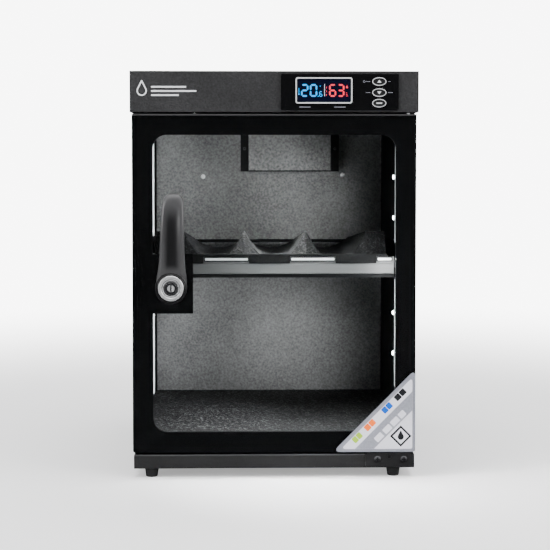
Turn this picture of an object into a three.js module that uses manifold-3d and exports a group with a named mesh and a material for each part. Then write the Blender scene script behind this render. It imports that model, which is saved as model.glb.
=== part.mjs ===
// Electronic dry cabinet: a steel box with a glass door, a sliding-rail shelf, a solid-state dehumidifier
// and an electronics housing on top. Millimetres, X to the right, Y to the back, Z up.
// Inside the assembly y = 0 is the cabinet's front edge; the finished group is centred over its footprint.

import * as THREE from 'three';
import { mergeVertices } from 'three/addons/utils/BufferGeometryUtils.js';
import Module from 'manifold-3d';

const wasm = await Module();
wasm.setup();

// ---------- Driving dimensions ----------

const TOTAL_HEIGHT = 400;
const HOUSING_WIDTH = 282;
const BODY_WIDTH = 279.4;
const BODY_DEPTH = 290;
const SHEET = 1.5;
const GAP = 0.3;

const FOOT_HEIGHT = 9;
const BASE_TOP = 22.7;
const BASE_FRONT = -14;
const BODY_BOTTOM = BASE_TOP + GAP;
const HOUSING_BOTTOM = 360;
const BODY_TOP = HOUSING_BOTTOM - GAP;
const HOUSING_FRONT = -19;
const HOUSING_REAR = BODY_DEPTH + 3;
const BODY_HALF = BODY_WIDTH / 2;
const INNER_HALF = BODY_HALF - SHEET;

const OPENING_HALF = 125;
const OPENING_BOTTOM = 36;
const OPENING_TOP = 348;

const DOOR_BOTTOM = 24.8;
const DOOR_TOP = 358.2;
const GLASS = 4;
const GLASS_FRONT = -17.6;
const GLASS_BACK = GLASS_FRONT + GLASS;
const FRAME_FRONT = GLASS_BACK + GAP;
const FRAME_BACK = -8.3;
const GASKET_BACK = -1;
const WINDOW_HALF = 119.5;
const WINDOW_BOTTOM = 45.2;
const WINDOW_TOP = 338;
const WINDOW_RADIUS = 14;
const PATCH_RIGHT = -80;
const PATCH_BOTTOM = 162.6;
const PATCH_TOP = 221.4;

const PIVOT_X = 131.5;
const PIVOT_Y = -10.8;
const PIN_RADIUS = 1.5;
const PIN_HOLE_RADIUS = 1.85;

const LOCK_X = -100.2;
const LOCK_Z = 189.6;
const LEVER_LENGTH = 92.5;
const LEVER_FRONT = -43;
const LEVER_LEAN = 1.4;
const TONGUE_LENGTH = 28;

const PANEL = { left: 6.3, right: 120.9, bottom: 361.9, top: 396.9 };
const DISPLAY = { x: 48.1, z: 380.95, width: 55.2, height: 25.2 };
const BUTTON_X = 101.9;
const BUTTON_HEIGHTS = { up: 389.6, down: 378.9, mode: 368.6 };
const BUTTON_HALF_WIDTH = 6.1;
const BUTTON_HALF_HEIGHT = 3.3;

const PAD_BASE = 206.8;
const PAD_LIP = 219.7;
const PAD_VALLEY = 212;
const RIDGE_TOP = 242;
const RIDGE_REAR = 224;
const RIDGE_PITCH = 61.9;
const PAD_LEFT = -119.5;
const PAD_RIGHT = 113.5;
const PAD_REAR = 262;
const MIDDLE_CRADLE = 1.45;

const UNIT_LEFT = -34.3;
const UNIT_RIGHT = 81.9;
const UNIT_BOTTOM = 303;
const UNIT_X = (UNIT_LEFT + UNIT_RIGHT) / 2;
const UNIT_RAIL = 9.3;
const UNIT_FRONT = 250;
const BACK_PANEL_FRONT = 288;
const VENT_REAR = 306;

// ---------- Materials ----------

const material = (color, roughness, metalness = 0) => new THREE.MeshStandardMaterial({ color, roughness, metalness });

const steelPaint = () => material(0x3a3b3d, 0.55, 0.2);
const linerPaint = () => material(0x6a6b6d, 0.6, 0.2);
const blackSteel = () => material(0x18181a, 0.5, 0.3);
const blackPlastic = () => material(0x101012, 0.35);
const glossBlack = () => material(0x08080a, 0.12);
const foam = () => material(0x1c1c1e, 0.95);
const rubber = () => material(0x141416, 0.8);
const brightSteel = () => material(0xc8cacc, 0.25, 1);
const aluminium = () => material(0xb4b7ba, 0.35, 1);
const boardGreen = () => material(0x1d5a34, 0.5);

// ---------- Solid helpers ----------

function solidOf(geometry) {
  const bare = geometry.clone();
  bare.deleteAttribute('normal');
  bare.deleteAttribute('uv');
  const merged = mergeVertices(bare, 1e-4);
  const mesh = new wasm.Mesh({
    numProp: 3,
    vertProperties: new Float32Array(merged.attributes.position.array),
    triVerts: new Uint32Array(merged.index.array),
  });
  return new wasm.Manifold(mesh);
}

function geometryOf(solid) {
  const mesh = solid.getMesh();
  const geometry = new THREE.BufferGeometry();
  geometry.setAttribute('position', new THREE.BufferAttribute(new Float32Array(mesh.vertProperties), 3));
  geometry.setIndex(new THREE.BufferAttribute(new Uint32Array(mesh.triVerts), 1));
  geometry.computeVertexNormals();
  return geometry;
}

function box([x0, x1], [y0, y1], [z0, z1]) {
  const geometry = new THREE.BoxGeometry(x1 - x0, y1 - y0, z1 - z0);
  geometry.translate((x0 + x1) / 2, (y0 + y1) / 2, (z0 + z1) / 2);
  return solidOf(geometry);
}

// A shape drawn in X and Z, extruded from y0 back to y1.
function plateY(shape, y0, y1, curveSegments = 6) {
  const geometry = new THREE.ExtrudeGeometry(shape, { depth: y1 - y0, bevelEnabled: false, curveSegments });
  geometry.rotateX(Math.PI / 2);
  geometry.translate(0, y1, 0);
  return solidOf(geometry);
}

// A shape drawn in Y and Z, extruded from x0 right to x1.
function plateX(shape, x0, x1, curveSegments = 6) {
  const geometry = new THREE.ExtrudeGeometry(shape, { depth: x1 - x0, bevelEnabled: false, curveSegments });
  geometry.rotateY(Math.PI / 2);
  geometry.rotateX(Math.PI / 2);
  geometry.translate(x0, 0, 0);
  return solidOf(geometry);
}

function cylinderY(x, z, radius, y0, y1, segments = 24, frontRadius = radius) {
  const geometry = new THREE.CylinderGeometry(radius, frontRadius, y1 - y0, segments);
  geometry.translate(x, (y0 + y1) / 2, z);
  return solidOf(geometry);
}

function cylinderZ(x, y, radius, z0, z1, segments = 16, bottomRadius = radius) {
  const geometry = new THREE.CylinderGeometry(radius, bottomRadius, z1 - z0, segments);
  geometry.rotateX(Math.PI / 2);
  geometry.translate(x, y, (z0 + z1) / 2);
  return solidOf(geometry);
}

function roundedRect(left, right, bottom, top, radius) {
  const shape = new THREE.Shape();
  shape.moveTo(left + radius, bottom);
  shape.lineTo(right - radius, bottom);
  shape.absarc(right - radius, bottom + radius, radius, -Math.PI / 2, 0);
  shape.lineTo(right, top - radius);
  shape.absarc(right - radius, top - radius, radius, 0, Math.PI / 2);
  shape.lineTo(left + radius, top);
  shape.absarc(left + radius, top - radius, radius, Math.PI / 2, Math.PI);
  shape.lineTo(left, bottom + radius);
  shape.absarc(left + radius, bottom + radius, radius, Math.PI, Math.PI * 1.5);
  return shape;
}

function polygon(points) {
  return new THREE.Shape(points.map(([a, b]) => new THREE.Vector2(a, b)));
}

function ellipse(x, z, halfWidth, halfHeight) {
  const shape = new THREE.Shape();
  shape.absellipse(x, z, halfWidth, halfHeight, 0, Math.PI * 2);
  return shape;
}

const joined = (solids) => solids.reduce((whole, solid) => whole.add(solid));

const assembly = new THREE.Group();

function place(name, solid, look, parent = assembly) {
  const mesh = new THREE.Mesh(geometryOf(solid), look);
  mesh.name = name;
  parent.add(mesh);
  return mesh;
}

// ---------- Base and feet ----------

function basePan() {
  const half = BODY_HALF - 1;
  const outer = box([-half, half], [BASE_FRONT, BODY_DEPTH], [FOOT_HEIGHT, BASE_TOP]);
  const inner = box(
    [-half + SHEET, half - SHEET],
    [BASE_FRONT + SHEET, BODY_DEPTH - SHEET],
    [FOOT_HEIGHT + SHEET, BASE_TOP + 1],
  );
  return outer.subtract(inner);
}

function foot() {
  const top = FOOT_HEIGHT - GAP;
  return cylinderZ(0, 0, 7, 0, top, 20, 5.8);
}

place('base_pan', basePan(), steelPaint());

for (const [side, x] of [['left', -121.6], ['right', 118.4]]) {
  for (const [end, y] of [['front', -5.5], ['rear', BODY_DEPTH - 22]]) {
    const mesh = place(`foot_${end}_${side}`, foot(), rubber());
    mesh.position.set(x, y, 0);
  }
}

// ---------- Cabinet shell and back ----------

function cabinetShell() {
  const outer = box([-BODY_HALF, BODY_HALF], [0, BODY_DEPTH], [BODY_BOTTOM, BODY_TOP]);
  const inner = box(
    [-INNER_HALF, INNER_HALF],
    [SHEET, BODY_DEPTH + 1],
    [BODY_BOTTOM + SHEET, BODY_TOP - SHEET],
  );
  const opening = box([-OPENING_HALF, OPENING_HALF], [-1, SHEET + 1], [OPENING_BOTTOM, OPENING_TOP]);
  return outer.subtract(inner).subtract(opening);
}

function backPanel() {
  const half = INNER_HALF - GAP;
  const plate = box(
    [-half, half],
    [BACK_PANEL_FRONT, BACK_PANEL_FRONT + SHEET],
    [BODY_BOTTOM + SHEET + GAP, BODY_TOP - SHEET - GAP],
  );
  const coolerHole = box([UNIT_X - 23, UNIT_X + 23], [280, 292], [307, 353]);
  return plate.subtract(coolerHole);
}

place('cabinet_shell', cabinetShell(), linerPaint());
place('back_panel', backPanel(), linerPaint());

for (const [side, x, z] of [['left', -80, 296], ['right', 89, 298]]) {
  const stud = cylinderY(x, z, 3, BACK_PANEL_FRONT - 3.1, BACK_PANEL_FRONT - GAP, 16, 1.6);
  place(`back_screw_${side}`, stud, brightSteel());
}

// ---------- Electronics housing ----------

function topHousing() {
  const half = HOUSING_WIDTH / 2;
  const outer = box([-half, half], [HOUSING_FRONT, HOUSING_REAR], [HOUSING_BOTTOM, TOTAL_HEIGHT]);
  const inner = box(
    [-half + SHEET, half - SHEET],
    [HOUSING_FRONT + SHEET, HOUSING_REAR - SHEET],
    [HOUSING_BOTTOM + 1.2, TOTAL_HEIGHT - SHEET],
  );
  const underside = box([-132, 132], [1.6, BODY_DEPTH - 2], [HOUSING_BOTTOM - 1, HOUSING_BOTTOM + 2]);
  const faceHole = box([14, 114], [HOUSING_FRONT - 1, HOUSING_FRONT + 2], [364.2, 395.2]);
  const pinHole = cylinderZ(PIVOT_X, PIVOT_Y, PIN_HOLE_RADIUS, HOUSING_BOTTOM - 1, HOUSING_BOTTOM + 2);
  const socketHole = box([-106, -90], [HOUSING_REAR - 3, HOUSING_REAR + 1], [371, 385]);
  return outer.subtract(inner).subtract(joined([underside, faceHole, pinHole, socketHole]));
}

function controlPanel() {
  const shape = roundedRect(PANEL.left, PANEL.right, PANEL.bottom, PANEL.top, 1);
  const back = HOUSING_FRONT - GAP;
  const plate = plateY(shape, back - 1.5, back);
  const halfW = DISPLAY.width / 2 + 0.4;
  const halfH = DISPLAY.height / 2 + 0.4;
  const window = roundedRect(DISPLAY.x - halfW, DISPLAY.x + halfW, DISPLAY.z - halfH, DISPLAY.z + halfH, 2.4);
  const holes = [plateY(window, back - 3, back + 1)];
  for (const z of Object.values(BUTTON_HEIGHTS)) {
    const hole = ellipse(BUTTON_X, z, BUTTON_HALF_WIDTH + 0.4, BUTTON_HALF_HEIGHT + 0.4);
    holes.push(plateY(hole, back - 3, back + 1, 24));
  }
  return plate.subtract(joined(holes));
}

function displayBezel() {
  const { x, z, width, height } = DISPLAY;
  const outer = roundedRect(x - width / 2, x + width / 2, z - height / 2, z + height / 2, 2.2);
  const rim = 1.1;
  const inner = roundedRect(
    x - width / 2 + rim,
    x + width / 2 - rim,
    z - height / 2 + rim,
    z + height / 2 - rim,
    1.2,
  );
  return plateY(outer, HOUSING_FRONT - 2.6, HOUSING_FRONT + 3).subtract(plateY(inner, -30, 0));
}

function displayModule() {
  const inset = 1.6;
  const halfW = DISPLAY.width / 2 - inset;
  const halfH = DISPLAY.height / 2 - inset;
  return box(
    [DISPLAY.x - halfW, DISPLAY.x + halfW],
    [HOUSING_FRONT - 1.4, HOUSING_FRONT + 5],
    [DISPLAY.z - halfH, DISPLAY.z + halfH],
  );
}

function buttonCap() {
  const shape = ellipse(0, 0, BUTTON_HALF_WIDTH, BUTTON_HALF_HEIGHT);
  return plateY(shape, HOUSING_FRONT - 3, HOUSING_FRONT + 3.5, 24);
}

function powerBoard() {
  const board = box([-70, 40], [170, 265], [366, 367.6]);
  const transformer = box([-60, -30], [180, 212], [367, 392]);
  const capacitor = cylinderZ(-8, 200, 8, 367, 391, 16);
  const relay = box([10, 30], [185, 202], [367, 383]);
  return joined([board, transformer, capacitor, relay]);
}

function powerInlet() {
  const body = box([-105.5, -90.5], [HOUSING_REAR - 13, HOUSING_REAR + 0.8], [371.5, 384.5]);
  return body.subtract(cylinderY(-98, 378, 4, HOUSING_REAR - 9, HOUSING_REAR + 2, 20));
}

place('top_housing', topHousing(), steelPaint());
place('control_panel', controlPanel(), glossBlack());
place('display_bezel', displayBezel(), brightSteel());
place('display_module', displayModule(), material(0x0b1230, 0.15));
place('control_board', box([16, 118], [-12.5, -10.9], [365, 395]), boardGreen());
place('power_board', powerBoard(), boardGreen());
place('power_inlet', powerInlet(), blackPlastic());

for (const [label, z] of Object.entries(BUTTON_HEIGHTS)) {
  const cap = place(`button_${label}`, buttonCap(), blackPlastic());
  cap.position.set(BUTTON_X, 0, z);
}

// ---------- Door ----------

function doorGlass() {
  const pane = roundedRect(-BODY_HALF, BODY_HALF, DOOR_BOTTOM, DOOR_TOP, 2);
  const lockHole = cylinderY(LOCK_X, LOCK_Z, 9.5, GLASS_FRONT - 1, GLASS_BACK + 1);
  return plateY(pane, GLASS_FRONT, GLASS_BACK).subtract(lockHole);
}

function doorFrame() {
  const half = BODY_HALF - 0.2;
  const outer = roundedRect(-half, half, DOOR_BOTTOM + 0.2, DOOR_TOP - 0.2, 2);
  const window = roundedRect(-WINDOW_HALF, WINDOW_HALF, WINDOW_BOTTOM, WINDOW_TOP, WINDOW_RADIUS);
  const patch = box([-WINDOW_HALF - 2, PATCH_RIGHT], [FRAME_FRONT, FRAME_BACK], [PATCH_BOTTOM, PATCH_TOP]);
  const lockHole = cylinderY(LOCK_X, LOCK_Z, 9.5, FRAME_FRONT - 1, FRAME_BACK + 1);
  const lowerPinHole = cylinderZ(PIVOT_X, PIVOT_Y, PIN_HOLE_RADIUS, DOOR_BOTTOM - 1, DOOR_BOTTOM + 13);
  const upperPinHole = cylinderZ(PIVOT_X, PIVOT_Y, PIN_HOLE_RADIUS, DOOR_TOP - 13, DOOR_TOP + 1);
  return plateY(outer, FRAME_FRONT, FRAME_BACK)
    .subtract(plateY(window, FRAME_FRONT - 1, FRAME_BACK + 1))
    .add(patch)
    .subtract(joined([lockHole, lowerPinHole, upperPinHole]));
}

function doorGasket() {
  const outer = roundedRect(-134, 134, 29, 354.5, 6);
  const inner = roundedRect(-126.5, 126.5, 36.5, 347, 4);
  return plateY(outer, FRAME_BACK + GAP, GASKET_BACK).subtract(plateY(inner, -20, 5));
}

place('door_glass', doorGlass(), material(0xdfe8ea, 0.03));
place('door_frame', doorFrame(), glossBlack());
place('door_gasket', doorGasket(), rubber());

// ---------- Hinges ----------

function lowerBracket() {
  const top = DOOR_BOTTOM - 0.4;
  const leaf = box([90, 137.5], [BASE_FRONT - 2, BASE_FRONT - GAP], [10.5, top]);
  const tongue = box([118, 137.5], [BASE_FRONT - 2, -1], [BODY_BOTTOM, top]);
  const spareHole = cylinderY(113.5, 20.5, 2, BASE_FRONT - 4, BASE_FRONT + 2, 16);
  const pinHole = cylinderZ(PIVOT_X, PIVOT_Y, PIN_HOLE_RADIUS, 20, 27);
  return leaf.add(tongue).subtract(spareHole).subtract(pinHole);
}

function upperBracket() {
  const section = polygon([
    [-16, HOUSING_BOTTOM + 1.5],
    [1.9, HOUSING_BOTTOM + 1.5],
    [1.9, HOUSING_BOTTOM],
    [26, HOUSING_BOTTOM],
    [26, HOUSING_BOTTOM + 3],
    [-16, HOUSING_BOTTOM + 3],
  ]);
  const pinHole = cylinderZ(PIVOT_X, PIVOT_Y, PIN_HOLE_RADIUS, 358, 366);
  const arm = plateX(section, 110, 131);
  const ear = box([125, 137], [-16, 0], [HOUSING_BOTTOM + 1.5, HOUSING_BOTTOM + 3]);
  return arm.add(ear).subtract(pinHole);
}

place('hinge_bracket_lower', lowerBracket(), blackSteel());
place('hinge_bracket_upper', upperBracket(), blackSteel());
place('hinge_pin_lower', cylinderZ(PIVOT_X, PIVOT_Y, PIN_RADIUS, 23.2, DOOR_BOTTOM + 12), brightSteel());
place('hinge_pin_upper', cylinderZ(PIVOT_X, PIVOT_Y, PIN_RADIUS, DOOR_TOP - 12, 363.5), brightSteel());

for (const [side, x] of [['left', 102], ['right', 128]]) {
  const front = BASE_FRONT - 2 - GAP;
  place(`hinge_screw_${side}`, cylinderY(x, 18, 3.2, front - 1.2, front, 20, 2.4), blackSteel());
}

// ---------- Lock and lever handle ----------

// The lever's side outline in Y and Z: it leaves the hub, bows forward and curls back to a free tip.
function leverSide() {
  const side = new THREE.Shape();
  side.moveTo(-21.5, -16);
  side.lineTo(-34, -16);
  side.bezierCurveTo(-37, 10, -43, 30, LEVER_FRONT, 58);
  side.bezierCurveTo(LEVER_FRONT, 74, -40, 86, -35, LEVER_LENGTH);
  side.lineTo(-27, LEVER_LENGTH - 3);
  side.bezierCurveTo(-32, 80, -34, 70, -34, 58);
  side.bezierCurveTo(-34, 40, -27, 30, -21.5, 20);
  return side;
}

// The lever's front outline in X and Z: widest over the hub, narrower towards the rounded tip.
function leverFront() {
  const front = new THREE.Shape();
  const shoulder = LEVER_LENGTH - 4;
  const crown = LEVER_LENGTH + 0.6;
  front.moveTo(-12.4, -2);
  front.bezierCurveTo(-17, 7, -14.2, 15, -13.1, 22);
  front.bezierCurveTo(-12, 40, LEVER_LEAN - 11.4, 62, LEVER_LEAN - 10.3, shoulder);
  front.bezierCurveTo(LEVER_LEAN - 6, crown, LEVER_LEAN + 6, crown, LEVER_LEAN + 10.3, shoulder);
  front.bezierCurveTo(LEVER_LEAN + 11.4, 62, 12, 40, 13.1, 22);
  front.bezierCurveTo(14.2, 15, 17, 7, 12.4, -2);
  front.absarc(0, 0, 12.5, -0.16, -Math.PI + 0.16, true);
  return front;
}

const SPINDLE_RADIUS = 4.5;
const PLUG_RADIUS = 5.6;
const PLUG_FRONT = -39.5;

function handleLever() {
  const blade = plateX(leverSide(), -20, 20, 8).intersect(plateY(leverFront(), -60, 0, 8));
  const hub = cylinderY(0, 0, 12.2, -38, -20.2, 32);
  const spindle = cylinderY(0, 0, SPINDLE_RADIUS, -24, 3.7, 20);
  const plugBore = cylinderY(0, 0, PLUG_RADIUS + GAP, -50, -25.5, 24);
  return blade.add(hub).add(spindle).subtract(plugBore);
}

function handleRing() {
  return cylinderY(0, 0, 11.6, -39.8, -38.3, 32, 10.6).subtract(cylinderY(0, 0, 6.6, -45, -30, 24));
}

function keyPlug() {
  const plug = cylinderY(0, 0, PLUG_RADIUS, PLUG_FRONT, -26, 24);
  return plug.subtract(box([-0.8, 0.8], [PLUG_FRONT - 1, PLUG_FRONT + 6], [-3.4, 3.4]));
}

function lockBarrel() {
  const flange = cylinderY(0, 0, 15, -19.8, GLASS_FRONT - GAP, 32, 14);
  const sleeve = cylinderY(0, 0, 9.1, -19.8, -3.6, 24);
  return flange.add(sleeve).subtract(cylinderY(0, 0, SPINDLE_RADIUS + GAP, -30, 5, 20));
}

function lockNut() {
  return cylinderY(0, 0, 13, FRAME_BACK + GAP, -4.4, 6).subtract(cylinderY(0, 0, 9.4, -20, 5, 24));
}

function lockTongue() {
  const outline = roundedRect(-7, 7, -TONGUE_LENGTH, 7.5, 4);
  return plateY(outline, 4, 6);
}

const lock = new THREE.Group();
lock.position.set(LOCK_X, 0, LOCK_Z);
assembly.add(lock);

place('lock_barrel', lockBarrel(), blackSteel(), lock);
place('lock_nut', lockNut(), brightSteel(), lock);
place('handle_lever', handleLever(), blackPlastic(), lock);
place('handle_ring', handleRing(), brightSteel(), lock);
place('key_plug', keyPlug(), brightSteel(), lock);
place('lock_tongue', lockTongue(), brightSteel(), lock);
place('tongue_screw', cylinderY(0, 0, 3.6, 6.3, 8, 16), brightSteel(), lock);
place('strike_plate', box([-136.7, -125.6], [1.8, 3.4], [176, 201]), brightSteel());

// ---------- Shelf with lens cradles ----------

const SHELF_FRONT = 10;
const SHELF_REAR = 275;
const TABS = [-91, -4.4, 82.2];
const TAB_WIDTH = 41;
const FLANGE_BOTTOM = 199.8;

function shelfRail(side) {
  const wall = side * (INNER_HALF - GAP);
  const inner = side * 124.5;
  const face = side * (INNER_HALF - GAP - SHEET);
  const order = (a, b) => (a < b ? [a, b] : [b, a]);
  const ledge = box(order(inner, wall), [20, 280], [203.3, 205]);
  const upright = box(order(face, wall), [20, 280], [203.3, 226]);
  return ledge.add(upright);
}

function shelfTray() {
  const deck = box([-133, 133], [20, SHELF_REAR], [205.3, 206.5]);
  const neck = box([-120.5, 120.5], [SHELF_FRONT, 21], [205.3, 206.5]);
  const flange = box([-120.5, 120.5], [SHELF_FRONT, SHELF_FRONT + 1.5], [FLANGE_BOTTOM, 217]);
  return deck.add(neck).add(flange);
}

// The pad's section: round valleys for lens barrels between narrow ridges, with a block at each end.
function padSection() {
  const shape = new THREE.Shape();
  shape.moveTo(PAD_LEFT, PAD_BASE);
  shape.lineTo(PAD_RIGHT, PAD_BASE);
  shape.lineTo(PAD_RIGHT, RIDGE_TOP);
  for (const step of [1, 0, -1]) {
    const centre = MIDDLE_CRADLE + step * RIDGE_PITCH;
    const right = centre + RIDGE_PITCH / 2 - 1.5;
    const left = centre - RIDGE_PITCH / 2 + 1.5;
    shape.lineTo(right, RIDGE_TOP);
    shape.quadraticCurveTo(right - 9, PAD_VALLEY + 3, centre, PAD_VALLEY);
    shape.quadraticCurveTo(left + 9, PAD_VALLEY + 3, left, RIDGE_TOP);
  }
  shape.lineTo(PAD_LEFT, RIDGE_TOP);
  return shape;
}

function shelfPad() {
  const front = SHELF_FRONT + 1.8;
  const waves = plateY(padSection(), front, PAD_REAR, 6);
  const slope = polygon([
    [front - 3, PAD_LIP],
    [front + 13.7, RIDGE_TOP],
    [PAD_REAR + 1, RIDGE_REAR],
    [PAD_REAR + 1, RIDGE_TOP + 5],
    [front - 3, RIDGE_TOP + 5],
  ]);
  const lip = box([PAD_LEFT, PAD_RIGHT], [SHELF_FRONT - 1.8, front + 6], [217.3, PAD_LIP]);
  const tabs = TABS.map((x) => box(
    [x - TAB_WIDTH / 2, x + TAB_WIDTH / 2],
    [SHELF_FRONT - 1.8, SHELF_FRONT - GAP],
    [210.4, 218],
  ));
  return waves.subtract(plateX(slope, -130, 130)).add(joined([lip, ...tabs]));
}

function shelfTrim() {
  return box([-120.5, 120.5], [SHELF_FRONT + 1, SHELF_FRONT + 4.6], [FLANGE_BOTTOM - 3.9, FLANGE_BOTTOM - GAP]);
}

function shelfRod() {
  const geometry = new THREE.CylinderGeometry(2, 2, 266, 12);
  geometry.rotateZ(Math.PI / 2);
  geometry.translate(0, 270, PAD_LIP - 0.7);
  return solidOf(geometry);
}

place('shelf_rail_left', shelfRail(-1), blackSteel());
place('shelf_rail_right', shelfRail(1), blackSteel());
place('shelf_tray', shelfTray(), aluminium());
place('shelf_pad', shelfPad(), foam());
place('shelf_rear_rod', shelfRod(), blackSteel());
place('shelf_trim', shelfTrim(), blackSteel());

// ---------- Floor mat and interior light ----------

place('floor_mat', box([-137.8, 137.8], [3, 287.6], [24.8, 36.8]), foam());

const STRIP_SPANS = { upper: [231, 332], lower: [86, 194] };
const LEFT_CHANNEL_SPANS = { upper: [231, 332], lower: [86, 156] };
const LAMP_HEIGHTS = { upper: [256, 296.6], lower: [120, 160.7] };
const STRIP_FACE = 122.6;

// An angle behind the front flange: one leg on the flange, one leg facing the inside.
function lightChannel(side, [bottom, top]) {
  const order = (a, b) => (a < b ? [a, b] : [b, a]);
  const onFlange = box(order(side * STRIP_FACE, side * 136), [1.8, 3], [bottom, top]);
  const inward = box(order(side * STRIP_FACE, side * (STRIP_FACE + 1.2)), [1.8, 14], [bottom, top]);
  return onFlange.add(inward);
}

function lightStrip(span, lamps) {
  const tape = box([STRIP_FACE - 1.2, STRIP_FACE - GAP], [3, 13], span);
  const chips = lamps.map((z) => box([STRIP_FACE - 2.6, STRIP_FACE - 1], [5.5, 10.5], [z - 2.5, z + 2.5]));
  return tape.add(joined(chips));
}

for (const [level, span] of Object.entries(STRIP_SPANS)) {
  place(`light_channel_left_${level}`, lightChannel(-1, LEFT_CHANNEL_SPANS[level]), aluminium());
  place(`light_channel_right_${level}`, lightChannel(1, span), aluminium());
  place(`light_strip_${level}`, lightStrip(span, LAMP_HEIGHTS[level]), material(0xf4f6f8, 0.4));
}

// ---------- Solid-state dehumidifier ----------

function unitCover() {
  const left = UNIT_LEFT + UNIT_RAIL + GAP;
  const right = UNIT_RIGHT - UNIT_RAIL - GAP;
  const top = BODY_TOP - SHEET - GAP;
  const back = BACK_PANEL_FRONT - GAP;
  const outer = box([left, right], [UNIT_FRONT, back], [UNIT_BOTTOM, top]);
  const inner = box([left + 1, right - 1], [UNIT_FRONT + 1, back + 1], [UNIT_BOTTOM + 1, top - 1]);
  const vents = [];
  for (let x = left + 12; x < right - 8; x += 10) {
    vents.push(box([x - 3, x + 3], [UNIT_FRONT + 8, back - 6], [UNIT_BOTTOM - 1, UNIT_BOTTOM + 2]));
  }
  return outer.subtract(inner).subtract(joined(vents));
}

function unitRail(left) {
  const top = BODY_TOP - SHEET - GAP;
  return box([left, left + UNIT_RAIL], [UNIT_FRONT - 1, BACK_PANEL_FRONT - GAP], [UNIT_BOTTOM - 0.8, top]);
}

function finnedBlock(baseY0, baseY1, finY0, finY1, half, bottom, top, pitch) {
  const solids = [box([UNIT_X - half, UNIT_X + half], [baseY0, baseY1], [bottom, top])];
  for (let x = UNIT_X - half + 1; x <= UNIT_X + half - 1; x += pitch) {
    solids.push(box([x - 0.8, x + 0.8], [finY0, finY1], [bottom, top]));
  }
  return joined(solids);
}

function rearVentCover() {
  const left = UNIT_X - 60;
  const right = UNIT_X + 60;
  const front = BACK_PANEL_FRONT + SHEET + GAP;
  const outer = plateY(roundedRect(left, right, 284, 357, 3), front, VENT_REAR);
  const inner = box([left + SHEET, right - SHEET], [front - 1, VENT_REAR - SHEET], [284 + SHEET, 357 - SHEET]);
  const slots = [];
  for (let x = left + 15; x < right - 9; x += 10) {
    slots.push(box([x - 2, x + 2], [VENT_REAR - 3, VENT_REAR + 1], [294, 347]));
  }
  return outer.subtract(inner).subtract(joined(slots));
}

place('unit_cover', unitCover(), linerPaint());
place('unit_rail_left', unitRail(UNIT_LEFT), blackSteel());
place('unit_rail_right', unitRail(UNIT_RIGHT - UNIT_RAIL), blackSteel());
place('cold_block', finnedBlock(277, 281, 262, 278, 21, 309, 351, 8), aluminium());
place('cooler_module', box([UNIT_X - 20, UNIT_X + 20], [281.3, 285.1], [310, 350]), material(0xe9e9e4, 0.6));
place('heat_sink', finnedBlock(285.4, 292, 291, 303, 21, 309, 351, 8), aluminium());
place('rear_vent_cover', rearVentCover(), blackSteel());
place('humidity_sensor', box([-70, -52], [281, 287.7], [349.5, 357.5]), blackPlastic());

// ---------- Centring over the footprint ----------

assembly.position.y = -(LEVER_FRONT + VENT_REAR) / 2;

export default assembly;
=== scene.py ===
import math

import bmesh
import bpy
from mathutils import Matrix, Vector, noise


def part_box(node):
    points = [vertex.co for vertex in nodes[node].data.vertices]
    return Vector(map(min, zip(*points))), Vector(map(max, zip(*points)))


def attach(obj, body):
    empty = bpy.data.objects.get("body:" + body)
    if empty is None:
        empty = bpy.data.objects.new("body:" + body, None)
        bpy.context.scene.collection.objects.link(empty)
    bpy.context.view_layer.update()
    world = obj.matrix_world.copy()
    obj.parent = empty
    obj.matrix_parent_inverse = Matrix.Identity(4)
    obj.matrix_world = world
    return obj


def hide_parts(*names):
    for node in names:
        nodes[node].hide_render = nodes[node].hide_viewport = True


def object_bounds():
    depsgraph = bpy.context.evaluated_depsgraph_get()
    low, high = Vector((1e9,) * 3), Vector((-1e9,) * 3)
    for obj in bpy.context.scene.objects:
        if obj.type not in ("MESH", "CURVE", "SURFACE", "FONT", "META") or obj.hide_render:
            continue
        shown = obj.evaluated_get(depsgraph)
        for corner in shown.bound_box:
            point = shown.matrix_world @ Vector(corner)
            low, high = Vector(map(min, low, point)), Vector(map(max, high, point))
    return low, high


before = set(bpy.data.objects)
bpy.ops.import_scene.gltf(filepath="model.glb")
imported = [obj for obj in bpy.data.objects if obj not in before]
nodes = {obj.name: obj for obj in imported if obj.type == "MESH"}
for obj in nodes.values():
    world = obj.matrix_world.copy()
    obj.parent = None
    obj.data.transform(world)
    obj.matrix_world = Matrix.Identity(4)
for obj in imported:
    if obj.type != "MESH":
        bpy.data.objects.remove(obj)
cad_low, cad_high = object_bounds()
MM = 0.001


# ---------- Places taken from the frame ----------

glass_low, glass_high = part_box("door_glass")
panel_low, panel_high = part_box("control_panel")
display_low, display_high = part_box("display_module")
plug_low, plug_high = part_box("key_plug")
lock_x = (plug_low.x + plug_high.x) / 2
lock_z = (plug_low.z + plug_high.z) / 2
housing_low, housing_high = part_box("top_housing")
shell_low, shell_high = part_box("cabinet_shell")


def cad_y(millimetres):
    """The frame's y for a depth behind the cabinet's front edge."""
    return millimetres * MM + shell_low.y


# ---------- Camera and studio ----------

CAMERA_DISTANCE = 1.26
CAMERA_HEIGHT = 0.302
CAMERA_SIDE = -0.027
VIEW_WIDTH = 0.5375
VIEW_SIDE = 0.0005
VIEW_LIFT = 0.001
SENSOR = 36.0
SHIFT_Y = -0.09

# Strengths of the world seen by diffuse rays, by reflections and by the camera.
FILL = 0.22
REFLECTED = 0.05
BACKDROP = 8.0
# The floor's paint gives way to the backdrop's white between these distances.
FLOOR_FADE = (0.45, 1.6)


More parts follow.
